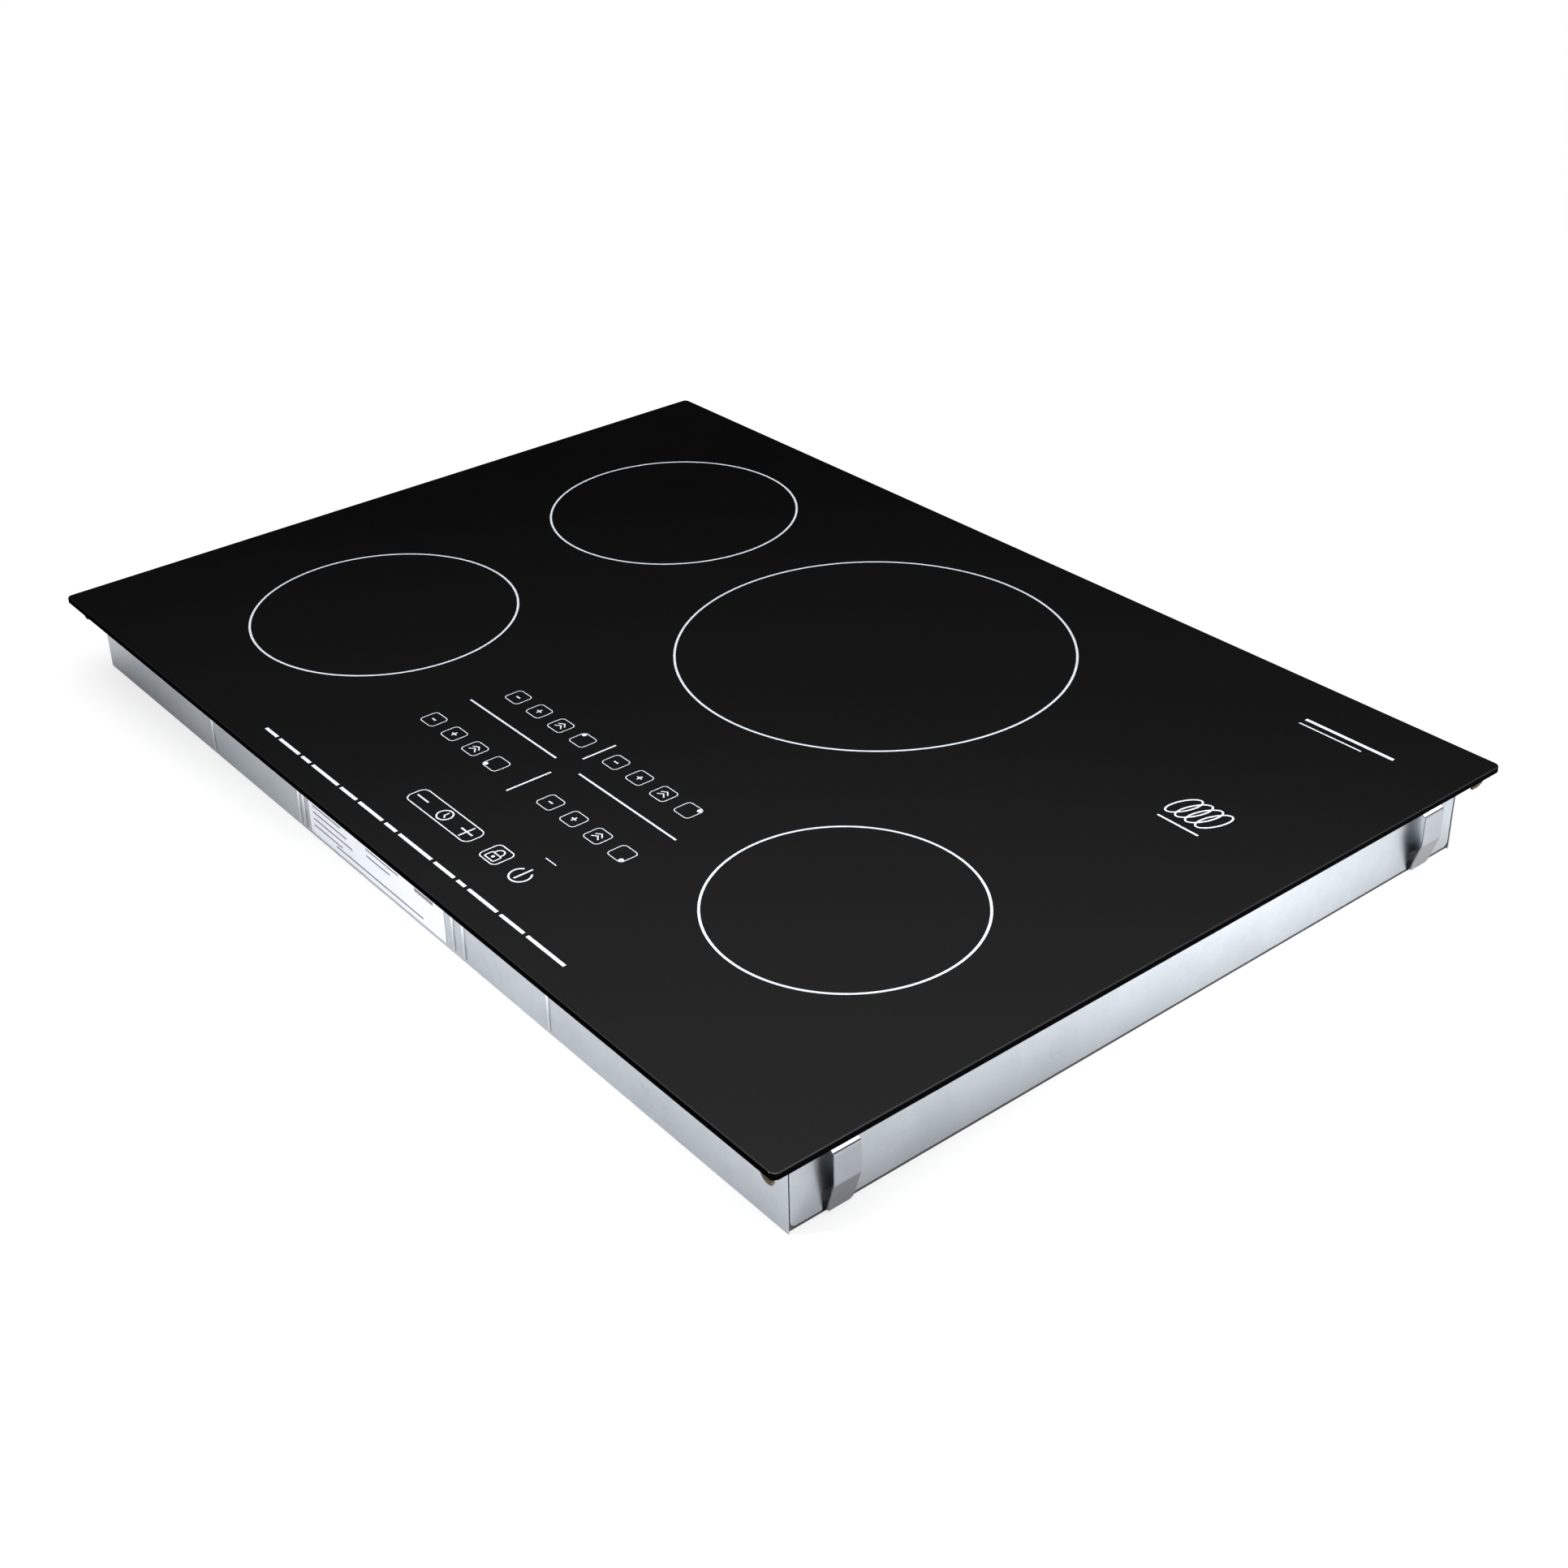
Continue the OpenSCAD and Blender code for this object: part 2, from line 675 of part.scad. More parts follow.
// Standoffs near the corners of a board with its centre at x, y
module corner_standoffs(w, d, x, y) {
  for (u = [-1, 1], v = [-1, 1])
    translate([x + u * (w / 2 - standoff_in), y + v * (d / 2 - standoff_in), sheet_t])
      cylinder(h = standoff_h, r = standoff_r);
}

module board_standoffs() {
  color([0.90, 0.90, 0.86]) {
    for (s = SIDES) corner_standoffs(power_w, power_d, side_sign(s) * power_x, power_y);
    corner_standoffs(filter_w, filter_d, 0, filter_y);
  }
}

module filter_board() {
  color([0.12, 0.32, 0.20]) box(filter_w, filter_d, board_t, [0, filter_y, board_z]);
}

module control_bracket() {
  color([0.12, 0.12, 0.13]) difference() {
    box(control_w, control_d, bracket_h, [panel_x, control_y, deck_top]);
    box(control_w - 2 * bracket_wall, control_d - 2 * bracket_wall, bracket_h,
      [panel_x, control_y, deck_top + bracket_wall]);
  }
}

module control_board() {
  color([0.08, 0.28, 0.16]) box(control_w, control_d + ribbon_out, board_t,
    [panel_x, control_y + ribbon_out / 2, deck_top + bracket_h]);
}

module touch_springs() {
  low = deck_top + bracket_h + board_t;
  color([0.75, 0.75, 0.72]) for (p = key_places()) translate([p[0], p[1], low])
    cylinder(h = glass_z - low, r = touch_r);
}

module terminal_places() {
  for (k = [0:term_ways - 1]) let (x = bush_x + (k - (term_ways - 1) / 2) * term_pitch)
    translate([x, term_y, sheet_t + term_h - term_hole_h]) children();
}

module terminal_block() {
  color([0.88, 0.88, 0.84]) difference() {
    box(term_w, term_d, term_h, [bush_x, term_y, sheet_t]);
    terminal_places() cylinder(h = term_hole_h + past, r = term_hole_r);
  }
}

module terminal_screws() {
  color([0.80, 0.68, 0.35]) terminal_places() cylinder(h = term_screw_h, r = term_screw_r);
}

module terminal_cover() {
  w = term_w + 2 * (cover_gap + cover_t);
  d = term_d + 2 * (cover_gap + cover_t);
  h = term_h + cover_gap + cover_t;
  color([0.14, 0.14, 0.15]) difference() {
    box(w, d, h, [bush_x, term_y, sheet_t]);
    box(w - 2 * cover_t, d - 2 * cover_t, h - cover_t + past, [bush_x, term_y, sheet_t - past]);
    box(4 * cover_t, term_d, cover_slot_h, [bush_x - w / 2, term_y, sheet_t - past]);
    box(term_w - cover_slot_in, 4 * cover_t, cover_slot_h, [bush_x, term_y + d / 2, sheet_t - past]);
  }
}

module cable_bush() {
  body = bush_bore_r + bush_wall;
  color([0.05, 0.05, 0.05]) translate([bush_x, cas_d / 2 + bush_flange_t, bush_z]) rotate([90, 0, 0])
    rotate_extrude() {
      translate([bush_bore_r, 0]) square([bush_flange_r - bush_bore_r, bush_flange_t]);
      translate([bush_bore_r, 0]) square([body - bush_bore_r, 2 * bush_flange_t + sheet_t]);
      translate([bush_bore_r, bush_flange_t + sheet_t]) square([bush_ring_r - bush_bore_r, bush_flange_t]);
    }
}

module earth_stud() {
  color([0.80, 0.68, 0.35]) translate([bush_x + earth_side, cas_d / 2 - earth_rear, sheet_t]) {
    cylinder(h = earth_nut_h, r = earth_nut_r, $fn = 6);
    cylinder(h = earth_h, r = earth_r);
  }
}

// Mains leads, board leads and the control ribbon
module wiring_loom() {
  lead_z = parts_z + plug_h / 2;
  term_left = bush_x - term_w / 2;
  ribbon_y = control_y + control_d / 2 + ribbon_out / 2;
  plug_y = filter_y - filter_d / 2;
  ribbon_z = parts_z + ribbon_up;
  color([0.75, 0.15, 0.12]) {
    for (k = [-1:1]) translate([filter_w / 2, term_y + mains_pitch * k, lead_z]) rotate([0, 90, 0])
      cylinder(h = term_left - filter_w / 2, r = lead_r);
    for (x = [-1, 1], k = [-1, 1]) translate([x * filter_w / 2, feed_y + k * lead_pitch / 2, lead_z])
      rotate([0, 90 * x, 0]) cylinder(h = power_x - power_w / 2 - filter_w / 2, r = lead_r);
    box(ribbon_w, ribbon_t, deck_top + bracket_h - ribbon_z, [panel_x, ribbon_y, ribbon_z]);
    translate([panel_x - ribbon_w / 2, ribbon_y, ribbon_z]) cube([ribbon_w, plug_y - ribbon_y, ribbon_t]);
  }
}

glass_panel();
glass_seal();
top_frame();
casing_tray();
side_panel("left");  // side_panel_left
side_panel("right");  // side_panel_right
edge_strip("left");  // edge_strip_left
edge_strip("right");  // edge_strip_right
clip("left", -1);  // clip_front_left
clip("right", -1);  // clip_front_right
clip("left", 1);  // clip_rear_left
clip("right", 1);  // clip_rear_right
casing_screws();
rating_label();
terminal_block();
terminal_cover();
terminal_screws();
cable_bush();
earth_stud();
coil_deck();
guide_posts();
coil_carrier("rear_left");  // coil_carrier_rear_left
coil_carrier("front_left");  // coil_carrier_front_left
coil_carrier("rear_right");  // coil_carrier_rear_right
coil_carrier("front_right");  // coil_carrier_front_right
coil_winding("rear_left");  // coil_winding_rear_left
coil_winding("front_left");  // coil_winding_front_left
coil_winding("rear_right");  // coil_winding_rear_right
coil_winding("front_right");  // coil_winding_front_right
ferrite_bars("rear_left");  // ferrite_bars_rear_left
ferrite_bars("front_left");  // ferrite_bars_front_left
ferrite_bars("rear_right");  // ferrite_bars_rear_right
ferrite_bars("front_right");  // ferrite_bars_front_right
mica_sheet("rear_left");  // mica_sheet_rear_left
mica_sheet("front_left");  // mica_sheet_front_left
mica_sheet("rear_right");  // mica_sheet_rear_right
mica_sheet("front_right");  // mica_sheet_front_right
heat_sensor("rear_left");  // heat_sensor_rear_left
heat_sensor("front_left");  // heat_sensor_front_left
heat_sensor("rear_right");  // heat_sensor_rear_right
heat_sensor("front_right");  // heat_sensor_front_right
coil_springs("rear_left");  // coil_springs_rear_left
coil_springs("front_left");  // coil_springs_front_left
coil_springs("rear_right");  // coil_springs_rear_right
coil_springs("front_right");  // coil_springs_front_right
fan_housing("left");  // fan_housing_left
fan_housing("right");  // fan_housing_right
fan_rotor("left");  // fan_rotor_left
fan_rotor("right");  // fan_rotor_right
power_board("left");  // power_board_left
power_board("right");  // power_board_right
heat_sink("left");  // heat_sink_left
heat_sink("right");  // heat_sink_right
board_parts();
board_standoffs();
filter_board();
control_bracket();
control_board();
touch_springs();
wiring_loom();
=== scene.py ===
"""Induction cooktop: camera, light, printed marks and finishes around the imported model, in metres."""
import json
import math
import bmesh
import bpy
from mathutils import Matrix, Vector

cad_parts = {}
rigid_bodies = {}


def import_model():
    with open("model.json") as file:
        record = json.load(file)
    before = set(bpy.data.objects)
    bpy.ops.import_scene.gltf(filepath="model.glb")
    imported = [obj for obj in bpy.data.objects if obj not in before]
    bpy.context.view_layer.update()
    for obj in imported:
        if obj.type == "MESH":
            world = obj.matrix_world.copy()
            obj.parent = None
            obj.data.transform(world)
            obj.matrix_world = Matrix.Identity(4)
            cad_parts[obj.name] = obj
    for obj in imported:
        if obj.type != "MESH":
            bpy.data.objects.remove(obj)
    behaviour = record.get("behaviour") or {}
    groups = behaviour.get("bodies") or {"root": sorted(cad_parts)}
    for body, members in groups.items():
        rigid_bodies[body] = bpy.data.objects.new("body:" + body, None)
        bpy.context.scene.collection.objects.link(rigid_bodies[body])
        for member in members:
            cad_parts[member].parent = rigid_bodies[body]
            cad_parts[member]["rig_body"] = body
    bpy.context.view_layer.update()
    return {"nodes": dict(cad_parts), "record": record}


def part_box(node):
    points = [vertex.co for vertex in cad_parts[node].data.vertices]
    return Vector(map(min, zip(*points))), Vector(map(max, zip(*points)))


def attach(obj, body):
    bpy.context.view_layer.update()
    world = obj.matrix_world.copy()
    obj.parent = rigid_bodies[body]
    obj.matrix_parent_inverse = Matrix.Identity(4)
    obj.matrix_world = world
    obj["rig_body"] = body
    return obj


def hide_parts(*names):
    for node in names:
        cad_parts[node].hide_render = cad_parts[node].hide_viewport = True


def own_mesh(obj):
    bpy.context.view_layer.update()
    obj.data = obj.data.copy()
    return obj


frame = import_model()
nodes = frame["nodes"]

MM = 0.001
CASING = "casing"
ZONES = ("rear_left", "front_left", "rear_right", "front_right")
glass_low, glass_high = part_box("glass_panel")
tray_low, tray_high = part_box("casing_tray")
panel_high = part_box("side_panel_right")[1]
label_low, label_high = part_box("rating_label")
seal_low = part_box("glass_seal")[0]
GLASS_TOP = glass_high.z
FRONT_WALL = tray_low.y
LEFT = -1
RIGHT = 1

GLASS_CORNER = 4 * MM

# A clip's shoulder, which gets a painted highlight, is above the first height, and its lower leg, which
# gets painted shade, below the second
CLIP_SHOULDER = seal_low.z - 8 * MM
CLIP_BEND = 21 * MM

# How much the edges of sheet and mouldings and of the side panels are eased, and the casing's folds
SHEET_EASE = 0.2 * MM
PANEL_EASE = 0.42 * MM
FOLD_RADIUS = 0.95 * MM

# Vertices closer than this are one
WELD = 0.002 * MM

# Faces that meet at less than the first angle are one flat face, and at more than the second a sharp edge
FLAT_ANGLE = math.radians(0.5)
SHARP_ANGLE = math.radians(35)

# A noise mostly lies between these
NOISE_LOW = 0.3
NOISE_HIGH = 0.7

# Printed marks
RING_LINE = 1.45 * MM
DIVIDER_LINE = 1.3 * MM
KEY_LINE = 0.55 * MM
TIMER_LINE = 0.75 * MM
PRINT_T = 0.04 * MM
KEY_W = 13.3 * MM
KEY_D = 12.6 * MM
KEY_R = 2.6 * MM
KEY_PITCH = 23.15 * MM
PANEL_X = 31.0 * MM


# ---------------------------------------------------------------- camera, light and floor

def make_camera():
    """The photo's view: right of the front, looking down, and turned a little about the line of sight."""
    azimuth = math.radians(53.37)
    elevation = math.radians(28.56)
    roll = math.radians(2.302)
    forward = Vector((-math.sin(azimuth) * math.cos(elevation),
                      math.cos(azimuth) * math.cos(elevation),
                      -math.sin(elevation)))
    level = forward.cross(Vector((0, 0, 1))).normalized()
    down = forward.cross(level)
    right = level * math.cos(roll) + down * math.sin(roll)
    up = right.cross(forward)
    data = bpy.data.cameras.new("camera")
    data.sensor_width = 36
    data.lens = 50.64
    data.shift_x = 0.0523
    data.shift_y = -0.0709
    eye = (0.9659, -0.7296, GLASS_TOP + 0.6593)
    camera = bpy.data.objects.new("camera", data)
    camera.matrix_world = Matrix((
        (right.x, up.x, -forward.x, eye[0]),
        (right.y, up.y, -forward.y, eye[1]),
        (right.z, up.z, -forward.z, eye[2]),
        (0, 0, 0, 1)))
    bpy.context.scene.collection.objects.link(camera)
    bpy.context.scene.camera = camera


def make_world():
    """A dome, dark at the horizon, bright overhead and grey below the floor, behind a white backdrop."""
    world = bpy.data.worlds.new("studio")
    world.use_nodes = True
    bpy.context.scene.world = world
    tree = world.node_tree
    background = tree.nodes["Background"]
    background.inputs["Strength"].default_value = 3.0
    coords = tree.nodes.new("ShaderNodeTexCoord")
    split = tree.nodes.new("ShaderNodeSeparateXYZ")
    ramp = tree.nodes.new("ShaderNodeValToRGB")
    tree.links.new(coords.outputs["Generated"], split.inputs[0])
    tree.links.new(split.outputs["Z"], ramp.inputs["Fac"])
    tree.links.new(ramp.outputs["Color"], background.inputs["Color"])
    stops = [(0.0, 0.004), (0.40, 0.006), (0.50, 0.028), (0.66, 0.125), (0.87, 0.64), (1.0, 1.40)]
    elements = ramp.color_ramp.elements
    while len(elements) < len(stops):
        elements.new(0.5)
    for element, (place, level) in zip(elements, stops):
        element.position = place
        element.color = (level, level, level, 1)
    backdrop = tree.nodes.new("ShaderNodeBackground")
    backdrop.inputs["Color"].default_value = (1, 1, 1, 1)
    rays = tree.nodes.new("ShaderNodeLightPath")
    blend = tree.nodes.new("ShaderNodeMixShader")
    tree.links.new(rays.outputs["Is Camera Ray"], blend.inputs[0])
    below = tree.nodes.new("ShaderNodeBackground")
    below.inputs["Color"].default_value = (0.55, 0.55, 0.55, 1)
    under = tree.nodes.new("ShaderNodeMath")
    under.operation = "LESS_THAN"
    under.inputs[1].default_value = 0
    halves = tree.nodes.new("ShaderNodeMixShader")
    tree.links.new(split.outputs["Z"], under.inputs[0])
    tree.links.new(under.outputs["Value"], halves.inputs[0])
    tree.links.new(background.outputs["Background"], halves.inputs[1])
    tree.links.new(below.outputs["Background"], halves.inputs[2])
    tree.links.new(halves.outputs["Shader"], blend.inputs[1])
    tree.links.new(backdrop.outputs["Background"], blend.inputs[2])
    tree.links.new(blend.outputs["Shader"], tree.nodes["World Output"].inputs["Surface"])


def place_lamp(name, data, place, target):
    """A lamp at place, turned to target, that the camera doesn't see."""
    lamp = bpy.data.objects.new(name, data)
    lamp.location = place
    lamp.rotation_euler = (Vector(target) - Vector(place)).to_track_quat("-Z", "Y").to_euler()
    lamp.visible_camera = False
    bpy.context.scene.collection.objects.link(lamp)
    return lamp


def area_light(name, place, target, size, power):
    """A rectangular lamp at place, turned to target."""
    data = bpy.data.lights.new(name, "AREA")
    data.shape = "RECTANGLE"
    data.size, data.size_y = size
    data.energy = power
    return place_lamp(name, data, place, target)


def spot_light(name, place, target, cone, power):
    """A soft-edged spot at place, turned to target."""
    data = bpy.data.lights.new(name, "SPOT")
    data.spot_size = math.radians(cone)
    data.spot_blend = 1
    data.shadow_soft_size = 0.25
    data.energy = power
    return place_lamp(name, data, place, target)


def make_lights():
    """The lamps brighten the floor that the sheet metal mirrors. Three of them aren't mirrored."""
    strip_out = 0.90
    strip_height = 0.04
    strip_size = (1.6, 0.06)
    rear = area_light("softbox_right_rear", (0.52, 0.11, 0.19), (0.46, 0.11, 0), (0.12, 0.12), 0.8)
    unmirrored = [rear]
    area_light("softbox_low_right", (1.50, 0.62, 0.40), (0.37, -0.08, 0.04), (2.6, 0.6), 7.2)
    for name, side, power in (("strip_right", RIGHT, 13), ("strip_left", LEFT, 4)):
        place = (side * strip_out, 0, strip_height)
        unmirrored.append(area_light(name, place, (0, 0, strip_height), strip_size, power))
    spot_light("spot_front", (-0.5, -1.3, 1.1), (0.13, -0.36, 0), 26, 140)
    for lamp in unmirrored:
        lamp.visible_glossy = False


def whiten(paint, share):
    """Seen directly, a share of the floor is plain white, for faint shadows. It is clear from below."""
    tree = paint.node_tree
    geometry = tree.nodes.new("ShaderNodeNewGeometry")
    clear = tree.nodes.new("ShaderNodeBsdfTransparent")
    sides = tree.nodes.new("ShaderNodeMixShader")
    white = tree.nodes.new("ShaderNodeEmission")
    rays = tree.nodes.new("ShaderNodeLightPath")
    amount = tree.nodes.new("ShaderNodeMath")
    amount.operation = "MULTIPLY"
    amount.inputs[1].default_value = share
    tree.links.new(rays.outputs["Is Camera Ray"], amount.inputs[0])
    blend = tree.nodes.new("ShaderNodeMixShader")
    tree.links.new(amount.outputs["Value"], blend.inputs[0])
    tree.links.new(tree.nodes["Principled BSDF"].outputs["BSDF"], blend.inputs[1])
    tree.links.new(white.outputs["Emission"], blend.inputs[2])
    tree.links.new(geometry.outputs["Backfacing"], sides.inputs[0])
    tree.links.new(blend.outputs["Shader"], sides.inputs[1])
    tree.links.new(clear.outputs["BSDF"], sides.inputs[2])
    tree.links.new(sides.outputs["Shader"], tree.nodes["Material Output"].inputs["Surface"])


def make_floor():
    """The floor stops just inside the casing's edges, so that the underside isn't in the dark."""
    mesh = bpy.data.meshes.new("floor")
    corners = [(-1, -1), (1, -1), (1, 1), (-1, 1)]
    rim = 6 * MM
    half = 12
    white_share = 0.72
    outer = [(half * x, half * y, 0) for x, y in corners]
    inner = [(x * (tray_high.x - rim), y * (tray_high.y - rim), 0) for x, y in corners]
    mesh.from_pydata(outer + inner, [], [(0, 1, 5, 4), (1, 2, 6, 5), (2, 3, 7, 6), (3, 0, 4, 7)])
    floor = bpy.data.objects.new("floor", mesh)
    bpy.context.scene.collection.objects.link(floor)
    paint = mottled("floor_paint", (0.92, 0.92, 0.92), (0.90, 0.90, 0.90), 300, rough=(0.55, 0.65))
    whiten(paint, white_share)
    floor.data.materials.append(paint)


# ---------------------------------------------------------------- materials

def shader(name):
    mat = bpy.data.materials.new(name)
    mat.use_nodes = True
    tree = mat.node_tree
    coords = tree.nodes.new("ShaderNodeTexCoord")
    return mat, tree, tree.nodes["Principled BSDF"], coords.outputs["Object"]


def scaled(tree, coords, size_mm, stretch=(1, 1, 1)):
    """Object coordinates in units of size_mm, stretched along the axes."""
    mapping = tree.nodes.new("ShaderNodeMapping")
    mapping.inputs["Scale"].default_value = [1 / (size_mm * MM * s) for s in stretch]
    tree.links.new(coords, mapping.inputs["Vector"])
    return mapping.outputs["Vector"]


def noise(tree, vector, detail=4):
    tex = tree.nodes.new("ShaderNodeTexNoise")
    tex.inputs["Scale"].default_value = 1
    tex.inputs["Detail"].default_value = detail
    tex.inputs["Roughness"].default_value = 0.55
    tree.links.new(vector, tex.inputs["Vector"])
    return tex.outputs["Fac"]


def spread(tree, value, low, high):
    """A noise as a number from low to high."""
    node = tree.nodes.new("ShaderNodeMapRange")
    node.inputs["From Min"].default_value = NOISE_LOW
    node.inputs["From Max"].default_value = NOISE_HIGH
    node.inputs["To Min"].default_value = low
    node.inputs["To Max"].default_value = high
    tree.links.new(value, node.inputs["Value"])
    return node.outputs["Result"]


def blend_colours(tree, value, dark, light, start=NOISE_LOW, stop=NOISE_HIGH):
    """A colour that goes from dark, where the value is at start, to light, where it is at stop."""
    ramp = tree.nodes.new("ShaderNodeValToRGB")
    first, last = ramp.color_ramp.elements
    first.position = start
    last.position = stop
    first.color = (*dark, 1)
    last.color = (*light, 1)
    tree.links.new(value, ramp.inputs["Fac"])
    return ramp.outputs["Color"]


def add_bump(tree, bsdf, height, strength, distance_mm):
    bump = tree.nodes.new("ShaderNodeBump")
    bump.inputs["Strength"].default_value = strength
    bump.inputs["Distance"].default_value = distance_mm * MM
    tree.links.new(height, bump.inputs["Height"])
    tree.links.new(bump.outputs["Normal"], bsdf.inputs["Normal"])


def mottled(name, light, dark, size_mm, metallic=0.0, rough=(0.4, 0.6), bump=0.0, stretch=(1, 1, 1)):
    """Colour and roughness that wander at size_mm, with a fine grain on the surface if it has a bump."""
    grain_mm = 0.6
    mat, tree, bsdf, coords = shader(name)
    wander = noise(tree, scaled(tree, coords, size_mm, stretch))
    tree.links.new(blend_colours(tree, wander, dark, light), bsdf.inputs["Base Color"])
    tree.links.new(spread(tree, wander, *rough), bsdf.inputs["Roughness"])
    bsdf.inputs["Metallic"].default_value = metallic
    if bump:
        grain = noise(tree, scaled(tree, coords, grain_mm, stretch), detail=2)
        add_bump(tree, bsdf, grain, bump, 0.05)
    return mat


def ceramic_glass():
    """Black glass ceramic: a near-black body with a faint fleck under a smooth, lightly smudged face."""
    mat, tree, bsdf, coords = shader("ceramic_glass")
    fleck = noise(tree, scaled(tree, coords, 0.9), detail=2)
    smudge = noise(tree, scaled(tree, coords, 90), detail=5)
    tree.links.new(blend_colours(tree, fleck, (0.0003, 0.0003, 0.0004), (0.0012, 0.0012, 0.0014)),
                   bsdf.inputs["Base Color"])
    tree.links.new(spread(tree, smudge, 0.04, 0.09), bsdf.inputs["Roughness"])
    bsdf.inputs["IOR"].default_value = 1.52
    return mat


def ground_edge():
    """The ground edge of the glass: black, with a satin face."""
    mat, tree, bsdf, coords = shader("glass_edge")
    grind = noise(tree, scaled(tree, coords, 0.5), detail=3)
    tree.links.new(blend_colours(tree, grind, (0.0003, 0.0003, 0.0004), (0.0012, 0.0012, 0.0013)),
                   bsdf.inputs["Base Color"])
    tree.links.new(spread(tree, grind, 0.30, 0.45), bsdf.inputs["Roughness"])
    bsdf.inputs["Specular IOR Level"].default_value = 0.0
    return mat


def zinc_sheet(name, light, dark, rough=(0.26, 0.40)):
    """Zinc-plated sheet: faint spangle, rolling lines and handling marks."""
    mat, tree, bsdf, coords = shader(name)
    spangle = tree.nodes.new("ShaderNodeTexVoronoi")
    spangle.inputs["Scale"].default_value = 1
    tree.links.new(scaled(tree, coords, 7), spangle.inputs["Vector"])
    cell = tree.nodes.new("ShaderNodeSeparateColor")
    tree.links.new(spangle.outputs["Color"], cell.inputs["Color"])
    cloud = noise(tree, scaled(tree, coords, 60), detail=5)
    rolling = noise(tree, scaled(tree, coords, 1.2, (30, 30, 1)), detail=3)
    mixed = tree.nodes.new("ShaderNodeMath")
    mixed.operation = "MULTIPLY_ADD"
    mixed.inputs[1].default_value = 0.14
    tree.links.new(cell.outputs["Red"], mixed.inputs[0])
    tree.links.new(cloud, mixed.inputs[2])
    tree.links.new(blend_colours(tree, mixed.outputs["Value"], dark, light, 0.35, 0.8),
                   bsdf.inputs["Base Color"])
    tree.links.new(spread(tree, cloud, *rough), bsdf.inputs["Roughness"])
    bsdf.inputs["Metallic"].default_value = 1.0
    add_bump(tree, bsdf, rolling, 0.06, 0.03)
    return mat


def make_materials():
    """One material for each of the record's slots, and some more for the pieces added here."""
    return {
        "ceramic_glass": ceramic_glass(),
        "glass_edge": ground_edge(),
        "seal": mottled("seal", (0.022, 0.022, 0.022), (0.010, 0.010, 0.010), 3, rough=(0.7, 0.9),
                        bump=0.5),
        "frame_steel": zinc_sheet("frame_steel", (0.56, 0.58, 0.60), (0.46, 0.48, 0.50)),
        "zinc_steel": zinc_sheet("zinc_steel", (0.42, 0.45, 0.48), (0.36, 0.39, 0.42)),
        # A lighter copy of the wall's zinc steel: painted highlight on the pressed ribs
        "rib_steel_painted_highlight": zinc_sheet("rib_steel_painted_highlight", (0.74, 0.77, 0.80), (0.66, 0.69, 0.72)),
        "spring_steel": zinc_sheet("spring_steel", (0.31, 0.33, 0.355), (0.27, 0.29, 0.315),
                                   (0.20, 0.30)),
        # A darker copy of the spring steel: painted shade on the clips' lower legs
        "spring_steel_painted_shade": zinc_sheet("spring_steel_painted_shade", (0.17, 0.18, 0.195), (0.14, 0.15, 0.165),
                                       (0.20, 0.30)),
        # A pale copy of the spring steel: a painted highlight on the clips' shoulders
        "spring_steel_painted_highlight": mottled("spring_steel_painted_highlight", (0.90, 0.91, 0.93), (0.82, 0.83, 0.86), 4,
                                     rough=(0.35, 0.5), bump=0.2),
        "screw_steel": mottled("screw_steel", (0.70, 0.71, 0.73), (0.56, 0.57, 0.60), 2, 1.0, (0.25, 0.4),
                               0.2),
        "label": mottled("label", (0.63, 0.655, 0.70), (0.59, 0.615, 0.66), 12, rough=(0.35, 0.5),
                         bump=0.15),
        "pale_plastic": mottled("pale_plastic", (0.80, 0.80, 0.76), (0.72, 0.72, 0.68), 8, bump=0.3),
        "dark_plastic": mottled("dark_plastic", (0.060, 0.060, 0.065), (0.040, 0.040, 0.044), 6, bump=0.4),
        "brass": mottled("brass", (0.78, 0.62, 0.30), (0.62, 0.46, 0.20), 3, 1.0, (0.25, 0.4), 0.2),
        "bush_rubber": mottled("bush_rubber", (0.03, 0.03, 0.03), (0.015, 0.015, 0.015), 3,
                               rough=(0.6, 0.8), bump=0.5),
        "aluminium": mottled("aluminium", (0.80, 0.81, 0.83), (0.68, 0.69, 0.72), 20, 1.0, (0.3, 0.45),
                             0.2, stretch=(12, 1, 1)),
        "copper_wire": mottled("copper_wire", (0.80, 0.42, 0.20), (0.55, 0.24, 0.10), 2, 1.0, (0.3, 0.5),
                               0.5),
        "ferrite": mottled("ferrite", (0.13, 0.13, 0.135), (0.08, 0.08, 0.085), 2, rough=(0.5, 0.7),
                           bump=0.6),
        "mica": mottled("mica", (0.76, 0.70, 0.54), (0.60, 0.53, 0.38), 5, rough=(0.4, 0.6), bump=0.4),
        "silicone": mottled("silicone", (0.82, 0.82, 0.78), (0.72, 0.72, 0.68), 5, rough=(0.5, 0.7),
                            bump=0.2),
        "circuit_board": mottled("circuit_board", (0.035, 0.20, 0.09), (0.02, 0.12, 0.05), 4,
                                 rough=(0.3, 0.45), bump=0.4),
        "component": mottled("component", (0.11, 0.15, 0.34), (0.06, 0.08, 0.20), 6, rough=(0.3, 0.5),
                             bump=0.2),
        "wire": mottled("wire", (0.58, 0.06, 0.05), (0.42, 0.03, 0.03), 6, rough=(0.35, 0.5), bump=0.2),
        "print_white": mottled("print_white", (0.66, 0.70, 0.75), (0.56, 0.60, 0.65), 4,
                               rough=(0.35, 0.5)),
        "label_ink": mottled("label_ink", (0.17, 0.18, 0.20), (0.11, 0.12, 0.135), 3, rough=(0.5, 0.7)),
        "sealant": mottled("sealant", (0.060, 0.036, 0.016), (0.006, 0.005, 0.004), 1.6,
                           rough=(0.45, 0.7), bump=0.8),
    }


# ---------------------------------------------------------------- mesh helpers

